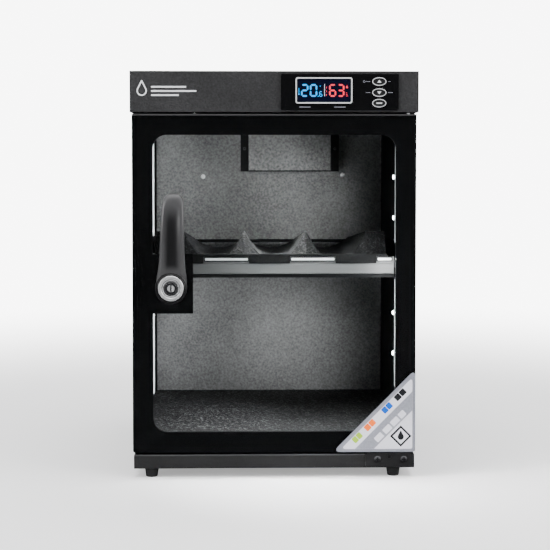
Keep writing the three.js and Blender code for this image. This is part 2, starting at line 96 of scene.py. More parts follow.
def add_camera():
    data = bpy.data.cameras.new("camera")
    data.sensor_width = SENSOR
    data.lens = SENSOR * CAMERA_DISTANCE / VIEW_WIDTH
    data.shift_y = SHIFT_Y
    camera = bpy.data.objects.new("camera", data)
    bpy.context.scene.collection.objects.link(camera)
    camera.location = (CAMERA_SIDE, glass_low.y - CAMERA_DISTANCE, CAMERA_HEIGHT)
    middle = Vector((VIEW_SIDE, glass_low.y, (cad_low.z + cad_high.z) / 2 + VIEW_LIFT))
    aim = middle - Vector((0, 0, SHIFT_Y * VIEW_WIDTH))
    camera.rotation_euler = (aim - camera.location).to_track_quat("-Z", "Y").to_euler()
    bpy.context.scene.camera = camera


def add_lamp(name, data, place, target=None):
    lamp = bpy.data.objects.new(name, data)
    bpy.context.scene.collection.objects.link(lamp)
    lamp.location = place
    if target:
        lamp.rotation_euler = (Vector(target) - Vector(place)).to_track_quat("-Z", "Y").to_euler()
    lamp.visible_camera = False
    return lamp


def area_light(name, place, target, size, power, height=None, spread=None):
    data = bpy.data.lights.new(name, "AREA")
    data.shape = "RECTANGLE"
    data.size = size
    data.size_y = height or size
    data.energy = power
    if spread:
        data.spread = math.radians(spread)
    return add_lamp(name, data, place, target)


def add_world():
    """White behind the object, a soft fill for diffuse light and a darker room for reflections."""
    world = bpy.data.worlds.new("studio")
    bpy.context.scene.world = world
    world.use_nodes = True
    tree = world.node_tree
    tree.nodes.clear()
    out = tree.nodes.new("ShaderNodeOutputWorld")
    path = tree.nodes.new("ShaderNodeLightPath")
    levels = []
    for strength in (FILL, REFLECTED, BACKDROP):
        level = tree.nodes.new("ShaderNodeBackground")
        level.inputs["Color"].default_value = (1, 1, 1, 1)
        level.inputs["Strength"].default_value = strength
        levels.append(level)
    bounced = tree.nodes.new("ShaderNodeMixShader")
    tree.links.new(path.outputs["Is Glossy Ray"], bounced.inputs["Fac"])
    tree.links.new(levels[0].outputs[0], bounced.inputs[1])
    tree.links.new(levels[1].outputs[0], bounced.inputs[2])
    seen = tree.nodes.new("ShaderNodeMixShader")
    tree.links.new(path.outputs["Is Camera Ray"], seen.inputs["Fac"])
    tree.links.new(bounced.outputs[0], seen.inputs[1])
    tree.links.new(levels[2].outputs[0], seen.inputs[2])
    tree.links.new(seen.outputs[0], out.inputs["Surface"])


def floor_material():
    """Pale paint near the object that fades to the backdrop's white further out."""
    made = bpy.data.materials.new("pale_floor")
    made.use_nodes = True
    tree = made.node_tree
    shader = tree.nodes["Principled BSDF"]
    shader.inputs["Base Color"].default_value = (0.93, 0.93, 0.94, 1)
    shader.inputs["Roughness"].default_value = 0.9
    shader.inputs["Specular IOR Level"].default_value = 0.1
    place = tree.nodes.new("ShaderNodeTexCoord")
    reach = tree.nodes.new("ShaderNodeVectorMath")
    reach.operation = "LENGTH"
    tree.links.new(place.outputs["Object"], reach.inputs[0])
    fade = tree.nodes.new("ShaderNodeMapRange")
    fade.interpolation_type = "SMOOTHSTEP"
    fade.inputs["From Min"].default_value = FLOOR_FADE[0]
    fade.inputs["From Max"].default_value = FLOOR_FADE[1]
    fade.inputs["To Min"].default_value = 0.05
    tree.links.new(reach.outputs["Value"], fade.inputs["Value"])
    white = tree.nodes.new("ShaderNodeEmission")
    white.inputs["Strength"].default_value = BACKDROP
    path = tree.nodes.new("ShaderNodeLightPath")
    seen = tree.nodes.new("ShaderNodeMath")
    seen.operation = "MULTIPLY"
    tree.links.new(fade.outputs["Result"], seen.inputs[0])
    tree.links.new(path.outputs["Is Camera Ray"], seen.inputs[1])
    mix = tree.nodes.new("ShaderNodeMixShader")
    tree.links.new(seen.outputs[0], mix.inputs["Fac"])
    tree.links.new(shader.outputs[0], mix.inputs[1])
    tree.links.new(white.outputs[0], mix.inputs[2])
    tree.links.new(mix.outputs[0], tree.nodes["Material Output"].inputs["Surface"])
    return made


def add_studio():
    add_world()
    bpy.ops.mesh.primitive_plane_add(size=40, location=(0, 0, 0))
    floor = bpy.context.active_object
    floor.name = "floor"
    floor.data.materials.append(floor_material())
    floor.visible_glossy = False
    area_light("top_box", (0, -0.2, 2.4), (0, 0, 0.2), 2.6, 95)
    area_light("left_box", (-2.4, -1.2, 1.3), (0, -0.1, 0.2), 2.0, 34, spread=120)
    area_light("right_box", (2.4, -1.0, 1.3), (0, -0.1, 0.2), 2.0, 30, spread=120)
    area_light("rear_box", (0.4, 2.4, 1.4), (0, 0.1, 0.2), 1.8, 30)
    for name, side in (("left_strip", -1), ("right_strip", 1)):
        area_light(name, (side * 1.1, -1.0, 0.55), (lock_x, -0.15, lock_z), 0.25, 1.6, height=1.0)


# ---------- Materials ----------

def shade(color, factor):
    return tuple(min(1.0, c * factor) for c in color) + (1.0,)


def surface(name, color, roughness, metallic=0.0, grain=900, depth=0.1, tint=0.12, spread=0.06, coat=0.0,
            stretch=(1, 1, 1), height=0.0004, specular=0.5):
    """A procedural surface: fine grain for bump, a slow cloud for colour and roughness."""
    made = bpy.data.materials.new(name)
    made.use_nodes = True
    tree = made.node_tree
    shader = tree.nodes["Principled BSDF"]
    shader.inputs["Metallic"].default_value = metallic
    shader.inputs["Coat Weight"].default_value = coat
    shader.inputs["Coat Roughness"].default_value = 0.08
    shader.inputs["Specular IOR Level"].default_value = specular
    place = tree.nodes.new("ShaderNodeTexCoord")
    mapping = tree.nodes.new("ShaderNodeMapping")
    mapping.inputs["Scale"].default_value = stretch
    tree.links.new(place.outputs["Object"], mapping.inputs["Vector"])
    fine = tree.nodes.new("ShaderNodeTexNoise")
    fine.inputs["Scale"].default_value = grain
    fine.inputs["Detail"].default_value = 3
    cloud = tree.nodes.new("ShaderNodeTexNoise")
    cloud.inputs["Scale"].default_value = 14
    cloud.inputs["Detail"].default_value = 4
    for node in (fine, cloud):
        tree.links.new(mapping.outputs["Vector"], node.inputs["Vector"])
    both = tree.nodes.new("ShaderNodeMath")
    both.operation = "MULTIPLY_ADD"
    both.inputs[1].default_value = 0.6
    tree.links.new(fine.outputs["Fac"], both.inputs[0])
    half = tree.nodes.new("ShaderNodeMath")
    half.operation = "MULTIPLY"
    half.inputs[1].default_value = 0.4
    tree.links.new(cloud.outputs["Fac"], half.inputs[0])
    tree.links.new(half.outputs[0], both.inputs[2])
    ramp = tree.nodes.new("ShaderNodeValToRGB")
    ramp.color_ramp.elements[0].position = 0.35
    ramp.color_ramp.elements[0].color = shade(color, 1 - tint)
    ramp.color_ramp.elements[1].position = 0.65
    ramp.color_ramp.elements[1].color = shade(color, 1 + tint)
    tree.links.new(both.outputs[0], ramp.inputs["Fac"])
    tree.links.new(ramp.outputs["Color"], shader.inputs["Base Color"])
    rough = tree.nodes.new("ShaderNodeMapRange")
    rough.inputs["From Min"].default_value = 0.3
    rough.inputs["From Max"].default_value = 0.7
    rough.inputs["To Min"].default_value = max(0.0, roughness - spread)
    rough.inputs["To Max"].default_value = min(1.0, roughness + spread)
    tree.links.new(both.outputs[0], rough.inputs["Value"])
    tree.links.new(rough.outputs["Result"], shader.inputs["Roughness"])
    bump = tree.nodes.new("ShaderNodeBump")
    bump.inputs["Strength"].default_value = depth
    bump.inputs["Distance"].default_value = height
    tree.links.new(fine.outputs["Fac"], bump.inputs["Height"])
    tree.links.new(bump.outputs["Normal"], shader.inputs["Normal"])
    return made


def object_place(tree):
    """The object coordinates that a surface's tree already holds."""
    return next(node for node in tree.nodes if node.type == "TEX_COORD").outputs["Object"]


def object_axes(tree):
    split = tree.nodes.new("ShaderNodeSeparateXYZ")
    tree.links.new(object_place(tree), split.inputs[0])
    return split.outputs


def maths(tree, operation, first, second=None):
    node = tree.nodes.new("ShaderNodeMath")
    node.operation = operation
    tree.links.new(first, node.inputs[0])
    if isinstance(second, float):
        node.inputs[1].default_value = second
    elif second:
        tree.links.new(second, node.inputs[1])
    return node.outputs[0]


def blend_color(tree, amount, color):
    """Mixes a surface's own colour towards another one by amount."""
    base = tree.nodes["Principled BSDF"].inputs["Base Color"]
    mix = tree.nodes.new("ShaderNodeMix")
    mix.data_type = "RGBA"
    tree.links.new(amount, mix.inputs["Factor"])
    tree.links.new(base.links[0].from_socket, mix.inputs["A"])
    mix.inputs["B"].default_value = (*color, 1)
    tree.links.new(mix.outputs["Result"], base)


def speckled(name, dark, light, grain):
    """Open-cell foam: dark pores between paler cell walls, rough all over."""
    made = surface(name, dark, 0.93, grain=grain, depth=1.0, height=0.002, specular=0.3)
    tree = made.node_tree
    cells = tree.nodes.new("ShaderNodeTexNoise")
    cells.inputs["Scale"].default_value = grain
    cells.inputs["Detail"].default_value = 5
    cells.inputs["Roughness"].default_value = 0.7
    tree.links.new(object_place(tree), cells.inputs["Vector"])
    ramp = tree.nodes.new("ShaderNodeValToRGB")
    ramp.color_ramp.elements[0].position = 0.50
    ramp.color_ramp.elements[0].color = (*dark, 1)
    ramp.color_ramp.elements[1].position = 0.68
    ramp.color_ramp.elements[1].color = (*light, 1)
    tree.links.new(cells.outputs["Fac"], ramp.inputs["Fac"])
    tree.links.new(ramp.outputs["Color"], tree.nodes["Principled BSDF"].inputs["Base Color"])
    return made


def panel_finish():
    """The liner's grey on the inner face, and the case's black on the outer one."""
    made = surface("panel_paint", LINER_GREY, 0.68, grain=430, depth=0.75, tint=0.42, height=0.0008,
                   specular=0.3)
    tree = made.node_tree
    middle = sum(corner.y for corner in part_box("back_panel")) / 2
    blend_color(tree, maths(tree, "GREATER_THAN", object_axes(tree)["Y"], middle), CASE_BLACK)
    return made


def lever_finish_with_painted_shade():
    """Satin plastic, with painted shade that makes it darker down the thumb channel than on the edges."""
    made = surface("lever_plastic_painted_shade", (0.05, 0.05, 0.052), 0.32, grain=2000, depth=0.05, spread=0.04)
    tree = made.node_tree
    axes = object_axes(tree)

    def span(source, a, b):
        part = tree.nodes.new("ShaderNodeMapRange")
        part.interpolation_type = "SMOOTHSTEP"
        part.inputs["From Min"].default_value = a
        part.inputs["From Max"].default_value = b
        tree.links.new(source, part.inputs["Value"])
        return part.outputs["Result"]

    across = maths(tree, "ABSOLUTE", maths(tree, "SUBTRACT", axes["X"], lock_x + 0.7 * MM))
    above_hub = span(axes["Z"], lock_z + 14 * MM, lock_z + 24 * MM)
    below_tip = span(axes["Z"], lock_z + 82 * MM, lock_z + 62 * MM)
    along = maths(tree, "MULTIPLY", above_hub, below_tip)
    # Painted shade: the middle of the thumb channel is blended towards the channel shade colour.
    blend_color(tree, maths(tree, "MULTIPLY", span(across, 9.5 * MM, 3.0 * MM), along), CHANNEL_SHADE)
    return made


def ink(name, color):
    return surface(name, color, 0.6, grain=900, depth=0.05, tint=0.08, specular=0.1)


def glowing(name, color, strength):
    """A lit display segment or lamp, or a painted glow that stands in for light falling on a wall."""
    made = bpy.data.materials.new(name)
    made.use_nodes = True
    shader = made.node_tree.nodes["Principled BSDF"]
    shader.inputs["Base Color"].default_value = (*color, 1)
    shader.inputs["Roughness"].default_value = 0.4
    shader.inputs["Emission Color"].default_value = (*color, 1)
    shader.inputs["Emission Strength"].default_value = strength
    return made


def clear_glass():
    """Thin clear glass that mirrors only where light enters it, so its far face never mirrors the inside."""
    made = bpy.data.materials.new("clear_glass")
    made.use_nodes = True
    tree = made.node_tree
    tree.nodes.clear()
    out = tree.nodes.new("ShaderNodeOutputMaterial")
    mix = tree.nodes.new("ShaderNodeMixShader")
    fresnel = tree.nodes.new("ShaderNodeFresnel")
    fresnel.inputs["IOR"].default_value = 1.25
    through = tree.nodes.new("ShaderNodeBsdfTransparent")
    through.inputs["Color"].default_value = (0.97, 0.985, 0.98, 1)
    mirror = tree.nodes.new("ShaderNodeBsdfGlossy")
    mirror.inputs["Color"].default_value = (1, 1, 1, 1)
    mirror.inputs["Roughness"].default_value = 0.02
    side = tree.nodes.new("ShaderNodeNewGeometry")
    entering = maths(tree, "LESS_THAN", side.outputs["Backfacing"], 0.5)
    tree.links.new(maths(tree, "MULTIPLY", fresnel.outputs[0], entering), mix.inputs["Fac"])
    tree.links.new(through.outputs[0], mix.inputs[1])
    tree.links.new(mirror.outputs[0], mix.inputs[2])
    tree.links.new(mix.outputs[0], out.inputs["Surface"])
    return made


LINER_GREY = (0.17, 0.17, 0.1725)
CASE_BLACK = (0.012, 0.012, 0.013)
# The painted shade down the lever's thumb channel.
CHANNEL_SHADE = (0.008, 0.008, 0.009)

MATERIALS = {
    "housing_paint": surface("housing_paint", (0.022, 0.022, 0.0235), 0.52, grain=560, depth=0.6, tint=0.5,
                             height=0.0007),
    "base_paint": surface("base_paint", (0.016, 0.016, 0.017), 0.5, grain=620, depth=0.4, tint=0.3),
    "shell_paint": surface("shell_paint", (0.010, 0.010, 0.011), 0.75, grain=700, depth=0.4, tint=0.25,
                           specular=0.08),
    "matt_black": surface("matt_black", (0.006, 0.006, 0.0065), 0.75, grain=1200, depth=0.15, specular=0.08),
    "panel_paint": panel_finish(),
    "cover_paint": surface("cover_paint", (0.14, 0.14, 0.142), 0.68, grain=330, depth=1.0, tint=0.6,
                           height=0.001, specular=0.3),
    "black_steel": surface("black_steel", (0.012, 0.012, 0.013), 0.42, grain=1500, depth=0.15),
    "dull_steel": surface("dull_steel", (0.10, 0.10, 0.105), 0.38, metallic=1, grain=900, depth=0.15),
    # Black plastic, also used for the painted shadow strips in the shelf's slots.
    "black_plastic": surface("black_plastic", (0.010, 0.010, 0.011), 0.33, grain=1800, depth=0.08),
    "lever_plastic_painted_shade": lever_finish_with_painted_shade(),
    "gloss_black": surface("gloss_black", (0.0035, 0.0035, 0.004), 0.14, grain=900, depth=0.002, spread=0.03,
                           specular=0.3),
    "display": surface("display", (0.002, 0.003, 0.014), 0.10, grain=2500, depth=0.002, spread=0.03),
    "bright_steel": surface("bright_steel", (0.72, 0.73, 0.74), 0.24, metallic=0.6, grain=900, depth=0.04,
                            tint=0.06, stretch=(1, 1, 6)),
    "pale_metal": surface("pale_metal", (0.80, 0.81, 0.82), 0.30, metallic=0.15, grain=900, depth=0.04, tint=0.05),
    "aluminium": surface("aluminium", (0.60, 0.61, 0.62), 0.34, metallic=0.7, grain=1200, depth=0.08,
                         tint=0.06, stretch=(0.05, 1, 4)),
    "shelf_metal": surface("shelf_metal", (0.18, 0.18, 0.184), 0.38, metallic=0.35, grain=900, depth=0.08,
                           tint=0.08, stretch=(0.05, 1, 4)),
    "foam": speckled("foam", (0.0025, 0.0025, 0.003), (0.045, 0.045, 0.047), 480),
    "skin_foam": surface("skin_foam", (0.007, 0.007, 0.0075), 0.85, grain=420, depth=0.6, tint=0.5,
                         specular=0.15),
    "mat_foam": speckled("mat_foam", (0.002, 0.002, 0.0023), (0.10, 0.10, 0.104), 400),
    # Pale paint for the painted edge highlights.
    "edge_highlight_grey": surface("edge_highlight_grey", (0.05, 0.05, 0.052), 0.5, grain=900, depth=0.1),
    "rubber": surface("rubber", (0.012, 0.012, 0.013), 0.72, grain=1400, depth=0.3),
    "circuit_board": surface("circuit_board", (0.02, 0.12, 0.05), 0.4, grain=600, depth=0.1),
    "ceramic": surface("ceramic", (0.78, 0.78, 0.75), 0.5, grain=900, depth=0.1),
    # White print, also used for the painted highlight bars in the shelf's slots.
    "white_print_and_highlight": surface("white_print_and_highlight", (0.80, 0.81, 0.83), 0.5, grain=2500, depth=0.05, tint=0.05),
    "lamp_tape": surface("lamp_tape", (0.75, 0.77, 0.80), 0.5, grain=1500, depth=0.1, tint=0.06),
    "sticker_silver": surface("sticker_silver", (0.30, 0.31, 0.36), 0.34, metallic=0.3, grain=900, depth=0.05),
    "sticker_pale": surface("sticker_pale", (0.76, 0.75, 0.83), 0.35, grain=600, depth=0.05, tint=0.04),
    "sticker_grey": surface("sticker_grey", (0.36, 0.37, 0.43), 0.32, metallic=0.3, grain=700, depth=0.05),
    "ink_green": ink("ink_green", (0.36, 0.56, 0.04)),
    "ink_orange": ink("ink_orange", (0.90, 0.16, 0.02)),
    "ink_blue": ink("ink_blue", (0.0, 0.10, 0.55)),
    # Black ink for print, also used for the painted shade of the screw recesses.
    "ink_and_shade_black": ink("ink_and_shade_black", (0.012, 0.012, 0.014)),
    "blue_glow": glowing("blue_glow", (0.0, 0.30, 0.78), 0.9),
    "red_glow": glowing("red_glow", (0.80, 0.035, 0.06), 0.62),
    "white_glow": glowing("white_glow", (0.8, 0.86, 1.0), 0.9),
    "lamp_glow": glowing("lamp_glow", (0.95, 0.98, 1.0), 30.0),
    # Painted light on the left wall, not a lamp.
    "painted_wall_glow": glowing("painted_wall_glow", (0.95, 0.97, 1.0), 0.9),
    "clear_glass": clear_glass(),
}


# ---------- Mesh helpers ----------

def soften_tree():
    """Modifier that welds a CAD mesh and shades its curved faces smooth."""
    tree = bpy.data.node_groups.new("soften", "GeometryNodeTree")
    tree.interface.new_socket("Geometry", in_out="INPUT", socket_type="NodeSocketGeometry")
    tree.interface.new_socket("Geometry", in_out="OUTPUT", socket_type="NodeSocketGeometry")
    start = tree.nodes.new("NodeGroupInput")
    end = tree.nodes.new("NodeGroupOutput")
    weld = tree.nodes.new("GeometryNodeMergeByDistance")
    weld.inputs["Distance"].default_value = 1e-6
    faces = tree.nodes.new("GeometryNodeSetShadeSmooth")
    faces.domain = "FACE"
    edges = tree.nodes.new("GeometryNodeSetShadeSmooth")
    edges.domain = "EDGE"
    angle = tree.nodes.new("GeometryNodeInputMeshEdgeAngle")
    limit = tree.nodes.new("FunctionNodeCompare")
    limit.operation = "LESS_THAN"
    limit.inputs[1].default_value = math.radians(32)
    tree.links.new(start.outputs[0], weld.inputs["Geometry"])
    tree.links.new(weld.outputs[0], faces.inputs["Geometry"])
    tree.links.new(faces.outputs[0], edges.inputs["Geometry"])
    tree.links.new(angle.outputs["Unsigned Angle"], limit.inputs[0])
    tree.links.new(limit.outputs[0], edges.inputs["Shade Smooth"])
    tree.links.new(edges.outputs[0], end.inputs[0])
    return tree


SOFTEN = soften_tree()


def finish_edges(piece, width=0.0):
    """Rounds a piece's sharp edges, shades its curves smooth and keeps its flat faces flat."""
    weld = piece.modifiers.new("Weld", "WELD")
    weld.merge_threshold = 1e-6
    if width:
        bevel = piece.modifiers.new("Bevel", "BEVEL")
        bevel.width = width
        bevel.segments = 2
        bevel.limit_method = "ANGLE"
        bevel.angle_limit = math.radians(40)
    smooth = piece.modifiers.new("Soften", "NODES")
    smooth.node_group = SOFTEN
    level = piece.modifiers.new("Level", "WEIGHTED_NORMAL")
    level.weight = 100
    level.keep_sharp = True


def add_piece(name, mesh, look, body, bevel=0.0, smooth=True):
    piece = bpy.data.objects.new(name, mesh)
    bpy.context.scene.collection.objects.link(piece)
    mesh.materials.append(MATERIALS[look])
    if smooth:
        finish_edges(piece, bevel)
    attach(piece, body)
    return piece


def mesh_from(name, build):
    work = bmesh.new()
    build(work)
    bmesh.ops.recalc_face_normals(work, faces=work.faces)
    mesh = bpy.data.meshes.new(name)
    work.to_mesh(mesh)
    work.free()
    return mesh


def add_prism(work, outline, y_front, y_back):
    """A closed solid from an outline of (x, z) points between two depths."""
    front = [work.verts.new((x, y_front, z)) for x, z in outline]
    back = [work.verts.new((x, y_back, z)) for x, z in outline]
    work.faces.new(front)
    work.faces.new(list(reversed(back)))
    count = len(outline)
    for i in range(count):
        j = (i + 1) % count
        work.faces.new((front[j], front[i], back[i], back[j]))


def add_ring_prism(work, outer, inner, y_front, y_back):
    """A closed band between two outlines with the same number of points."""
    loops = []
    for outline, y in ((outer, y_front), (inner, y_front), (inner, y_back), (outer, y_back)):
        loops.append([work.verts.new((x, y, z)) for x, z in outline])
    count = len(outer)
    for a, b in zip(loops, loops[1:] + loops[:1]):
        for i in range(count):
            j = (i + 1) % count
            work.faces.new((a[i], a[j], b[j], b[i]))


def ellipse(x, z, half_width, half_height, count=48):
    steps = (2 * math.pi * i / count for i in range(count))
    return [(x + half_width * math.cos(t), z + half_height * math.sin(t)) for t in steps]


def rounded(points, radius, steps=6):
    """An outline through points with each corner replaced by an arc of about that radius."""
    made = []
    count = len(points)
    for i in range(count):
        corner = Vector(points[i])
        before = (Vector(points[i - 1]) - corner).normalized()
        after = (Vector(points[(i + 1) % count]) - corner).normalized()
        half = before.angle(after) / 2
        reach = radius / math.tan(half)
        start, end = corner + before * reach, corner + after * reach
        for k in range(steps + 1):
            t = k / steps
            made.append(tuple((1 - t) ** 2 * start + 2 * t * (1 - t) * corner + t * t * end))
    return made


def rectangle(x0, x1, z0, z1):
    return [(x0, z0), (x1, z0), (x1, z1), (x0, z1)]


def add_lathe(work, x, z, profile, segments=64):
    """A solid of revolution about a line along Y. profile lists (radius, y), ending on the axis at both ends."""
    rings = []
    for radius, y in profile:
        if radius < 1e-7:
            rings.append([work.verts.new((x, y, z))])
            continue
        turn = (2 * math.pi * i / segments for i in range(segments))
        rings.append([work.verts.new((x + radius * math.cos(t), y, z + radius * math.sin(t))) for t in turn])
    for a, b in zip(rings, rings[1:]):
        for i in range(segments):
            j = (i + 1) % segments
            if len(a) == 1 and len(b) > 1:
                work.faces.new((a[0], b[j], b[i]))
            elif len(b) == 1 and len(a) > 1:
                work.faces.new((a[i], a[j], b[0]))
            elif len(a) > 1:
                work.faces.new((a[i], a[j], b[j], b[i]))


def add_hoop(work, x, z, profile, segments=64):
    """A closed ring of revolution about a line along Y, from a closed profile of (radius, y)."""
    rings = []
    for radius, y in profile:
        turn = (2 * math.pi * i / segments for i in range(segments))
        rings.append([work.verts.new((x + radius * math.cos(t), y, z + radius * math.sin(t))) for t in turn])
    for a, b in zip(rings, rings[1:] + rings[:1]):
        for i in range(segments):
            j = (i + 1) % segments
            work.faces.new((a[i], a[j], b[j], b[i]))


# ---------- CAD nodes that stay, with better surfaces ----------

NODE_LOOKS = {
    "housing_paint": (("top_housing", 1.0),),
    "base_paint": (("base_pan", 0.6),),
    "shell_paint": (("cabinet_shell", 0.4),),
    "panel_paint": (("back_panel", 0.2),),
    "cover_paint": (("unit_cover", 0.5),),
    "black_steel": (("hinge_bracket_lower", 0.4), ("hinge_bracket_upper", 0.3), ("rear_vent_cover", 0.4),
                    ("lock_barrel", 0.4), ("shelf_trim", 0.3)),
    "matt_black": (("shelf_rail_left", 0.3), ("shelf_rail_right", 0.3), ("shelf_rear_rod", 0.2),
                   ("unit_rail_left", 0.5), ("unit_rail_right", 0.5)),
    "gloss_black": (("control_panel", 0.3), ("door_frame", 0.3)),
    "black_plastic": (("button_up", 0.6), ("button_down", 0.6), ("button_mode", 0.6), ("power_inlet", 0.4),
                      ("humidity_sensor", 0.5)),
    "display": (("display_module", 0.2),),
    "bright_steel": (("hinge_pin_lower", 0.3), ("hinge_pin_upper", 0.3), ("lock_nut", 0.4), ("key_plug", 0.3),
                     ("lock_tongue", 0.3), ("tongue_screw", 0.4), ("strike_plate", 0.2)),
    "pale_metal": (("display_bezel", 0.35), ("back_screw_left", 0.3), ("back_screw_right", 0.3)),
    "shelf_metal": (("shelf_tray", 0.25),),
    "aluminium": (("light_channel_left_upper", 0.2), ("light_channel_left_lower", 0.2),
                  ("light_channel_right_upper", 0.2), ("light_channel_right_lower", 0.2), ("cold_block", 0.2),
                  ("heat_sink", 0.2)),
    "lamp_tape": (("light_strip_upper", 0.1), ("light_strip_lower", 0.1)),
    "rubber": (("foot_front_left", 0.6), ("foot_front_right", 0.6), ("foot_rear_left", 0.6),
               ("foot_rear_right", 0.6)),
    "clear_glass": (("door_glass", None),),
    "circuit_board": (("control_board", 0.2), ("power_board", 0.2)),
    "ceramic": (("cooler_module", 0.2),),
}


def dress_nodes():
    for look, entries in NODE_LOOKS.items():
        for name, width in entries:
            piece = nodes[name]
            piece.data.materials.clear()
            piece.data.materials.append(MATERIALS[look])
            if width is not None:
                finish_edges(piece, width * MM)


# ---------- Lever handle ----------

LEVER_WIDTHS = ((-12, 8.0), (-6, 11.5), (0, 14.2), (5, 15.0), (10, 14.6), (18, 13.2), (26, 12.5), (50, 11.6),
                (74, 10.9), (92, 10.3))
LEVER_LEAN = 2.4 / 92


def lever_width(s):
    """Half width of the lever at height s above the hub's axis, in millimetres."""
    for (s0, w0), (s1, w1) in zip(LEVER_WIDTHS, LEVER_WIDTHS[1:]):
        if s <= s1:
            t = max(0.0, (s - s0) / (s1 - s0))
            return w0 + (w1 - w0) * t
    return LEVER_WIDTHS[-1][1]


def lever_front(s):
    t = max(0.0, min(1.0, (s + 12) / 70))
    bow = -34.5 - 8.0 * math.sin(math.pi / 2 * t) ** 1.4
    if s > 58:
        bow += 8.0 * ((s - 58) / 34) ** 2
    return bow


def lever_back(s):
    t = max(0.0, min(1.0, (s - 12) / 46))
    bow = -21.5 - 12.2 * (1 - math.cos(math.pi * t)) / 2
    if s > 60:
        bow += 7.4 * ((s - 60) / 32) ** 2
    return bow


def lever_section(s, shrink=1.0):
    """One closed section of the lever: a hollowed front, rounded edges and a flat back."""
    half = lever_width(s) * shrink
    front = lever_front(s)
    back = lever_back(s)
    channel = 3.4 * max(0.0, min(1.0, (s - 15) / 8)) * max(0.0, min(1.0, (82 - s) / 14))
    middle = (front + back) / 2
    deep = (back - front) / 2
    points = []
    for k in range(28):
        turn = 2 * math.pi * k / 28
        c, d = math.cos(turn), math.sin(turn)
        u = math.copysign(abs(c) ** 0.55, c)
        v = math.copysign(abs(d) ** 0.62, d)
        y = middle + deep * v * shrink
        if v < 0:
            y += channel * max(0.0, 1 - (abs(u) / 0.74) ** 2) ** 1.2
        points.append((half * u, y))
    return points


def build_lever(work):
    heights = [-11.5, -8, -4, 0, 5, 10, 15, 20, 26, 32, 38, 45, 52, 59, 66, 73, 79, 84, 87.5, 90, 91.6]
    shrinks = [0.62, 0.88] + [1.0] * (len(heights) - 5) + [0.93, 0.8, 0.55]
    rings = []
    for s, shrink in zip(heights, shrinks):
        ring = []
        for x, y in lever_section(s, shrink):
            arch = 2.2 * (x / 11.0) ** 2 if s > 80 else 0.0
            side = x + LEVER_LEAN * max(0, s)
            ring.append(work.verts.new((side * MM + lock_x, cad_y(y), (s - arch) * MM + lock_z)))
        rings.append(ring)
    count = len(rings[0])
    for a, b in zip(rings, rings[1:]):
        for i in range(count):
            j = (i + 1) % count
            work.faces.new((a[i], a[j], b[j], b[i]))
    work.faces.new(rings[0])
    work.faces.new(list(reversed(rings[-1])))


def add_handle():
    mesh = mesh_from("lever_grip", build_lever)
    grip = add_piece("lever_grip", mesh, "lever_plastic_painted_shade", "handle", smooth=False)
    for face in mesh.polygons:
        face.use_smooth = True
    smooth = grip.modifiers.new("Subdivision", "SUBSURF")
    smooth.levels = smooth.render_levels = 2

    def build_hub(work):
        outline = [(6.0, -25), (6.0, -38.6), (6.5, -39.2), (7.0, -38.6), (12.0, -38.2), (12.35, -37.4),
                   (12.35, -20.4), (4.6, -20.4), (4.6, -25)]
        add_hoop(work, lock_x, lock_z, [(r * MM, cad_y(y)) for r, y in outline])

    add_piece("lever_hub", mesh_from("lever_hub", build_hub), "lever_plastic_painted_shade", "handle", bevel=0.15 * MM)

    def build_ring(work):
        for inner, outer, front in ((7.4, 8.4, -39.3), (9.0, 12.2, -39.9)):
            crown = [(inner, -38.1), (inner, front + 0.5), (inner + 0.5, front), (outer - 0.5, front),
                     (outer, front + 0.5), (outer, -38.1)]
            add_hoop(work, lock_x, lock_z, [(r * MM, cad_y(y)) for r, y in crown])

    ring = add_piece("hub_rings", mesh_from("hub_rings", build_ring), "bright_steel", "handle")

    def build_collar(work):
        for inner, outer, front in ((12.5, 13.8, -39.2), (14.1, 15.3, -38.9)):
            crown = [(inner, -34), (inner, front + 0.4), (inner + 0.4, front), (outer - 0.4, front),
                     (outer, front + 0.4), (outer, -34)]
            add_hoop(work, lock_x, lock_z, [(r * MM, cad_y(y)) for r, y in crown])

    add_piece("hub_collars", mesh_from("hub_collars", build_collar), "black_plastic", "handle")
    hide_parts("handle_lever")
    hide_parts("handle_ring")

    def build_spindle(work):
        profile = [(0, -24.5), (4.4, -24.5), (4.4, 3.4), (4.1, 3.7), (0, 3.7)]
        add_lathe(work, lock_x, lock_z, [(r * MM, cad_y(y)) for r, y in profile], 32)

    add_piece("lever_spindle", mesh_from("lever_spindle", build_spindle), "bright_steel", "handle")

    def build_plug_ring(work):
        face = plug_low.y
        profile = [(3.5 * MM, face - 0.04 * MM), (5.5 * MM, face - 0.04 * MM), (5.5 * MM, face - 0.2 * MM),
                   (3.7 * MM, face - 0.3 * MM)]
        add_hoop(work, lock_x, lock_z, profile)

    add_piece("plug_ring", mesh_from("plug_ring", build_plug_ring), "ink_and_shade_black", "key_cylinder")


# ---------- Soft pieces ----------

PAD_FRONT = 11.6
PAD_REAR = 262
MIDDLE_CRADLE = 1.45
RIDGE_PITCH = 61.9
RIDGE_TOP = 242
RIDGE_REAR = 223.6
CREST = 0.8
FACET_FOLD = 0.45
SLOPE_END = 25.8
VALLEY = 212
LIP = 219.7
PAD_BOTTOM = 206.9


